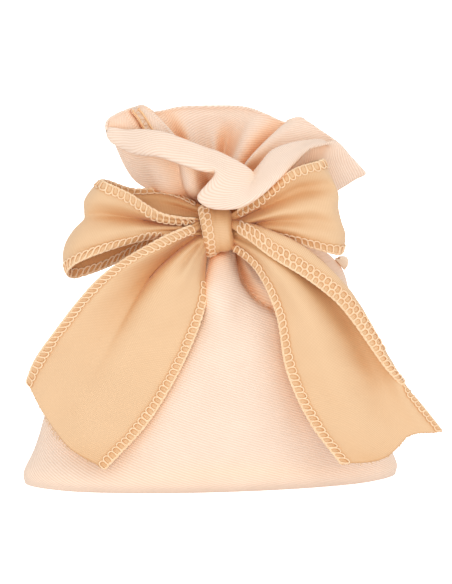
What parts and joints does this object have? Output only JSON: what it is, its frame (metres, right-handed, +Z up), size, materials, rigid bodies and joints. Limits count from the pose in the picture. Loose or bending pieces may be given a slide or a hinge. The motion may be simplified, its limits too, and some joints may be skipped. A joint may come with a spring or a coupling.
{
  "type": "favor bag",
  "caption": "Small gathered cloth favor pouch with a frilled mouth, filled plump and tied at its neck with an overlocked ribbon bow whose loops and tails move.",
  "frame": {"origin": "on the floor under the middle of the object's box", "axes": "+X to the right as the bow faces the viewer, +Y to the back, +Z up"},
  "size_m": [0.1092, 0.0518, 0.0989],
  "materials": {
    "twill": "matt pale peach twill",
    "seam_thread": "overlocked seam allowance, tan thread",
    "wadding": "soft white wadding",
    "ribbon": "fine plain-woven tan ribbon",
    "overlock": "pale peach overlock thread"
  },
  "bodies": {
    "bag": {"front_panel": "twill", "back_panel": "twill", "left_side_seam": "seam_thread", "right_side_seam": "seam_thread", "bottom_seam": "seam_thread", "filling": "wadding", "neck_wrap": "ribbon", "neck_wrap_upper_overlock": "overlock", "neck_wrap_lower_overlock": "overlock", "knot": "ribbon", "knot_overlock": "overlock", "side_tab": "ribbon"},
    "left_loop": {"left_loop": "ribbon", "left_loop_upper_overlock": "overlock", "left_loop_lower_overlock": "overlock"},
    "right_loop": {"right_loop": "ribbon", "right_loop_upper_overlock": "overlock", "right_loop_lower_overlock": "overlock"},
    "left_tail": {"left_tail": "ribbon", "left_tail_outer_overlock": "overlock", "left_tail_inner_overlock": "overlock"},
    "right_tail": {"right_tail": "ribbon", "right_tail_outer_overlock": "overlock", "right_tail_inner_overlock": "overlock"}
  },
  "joints": [
    {"name": "left_loop_tilt", "type": "hinge", "parent": "bag", "child": "left_loop", "pos_m": [-0.00902, -0.01448, 0.0685], "axis": [0, 1, 0], "range_deg": [-8, 12]},
    {"name": "right_loop_tilt", "type": "hinge", "parent": "bag", "child": "right_loop", "pos_m": [0.00218, -0.01448, 0.0685], "axis": [0, -1, 0], "range_deg": [-14, 1]},
    {"name": "left_tail_lift", "type": "hinge", "parent": "bag", "child": "left_tail", "pos_m": [-0.00902, -0.01718, 0.0719], "axis": [-1, 0, 0], "range_deg": [0, 80]},
    {"name": "right_tail_lift", "type": "hinge", "parent": "bag", "child": "right_tail", "pos_m": [0.00218, -0.01718, 0.0719], "axis": [-1, 0, 0], "range_deg": [0, 80]}
  ]
}
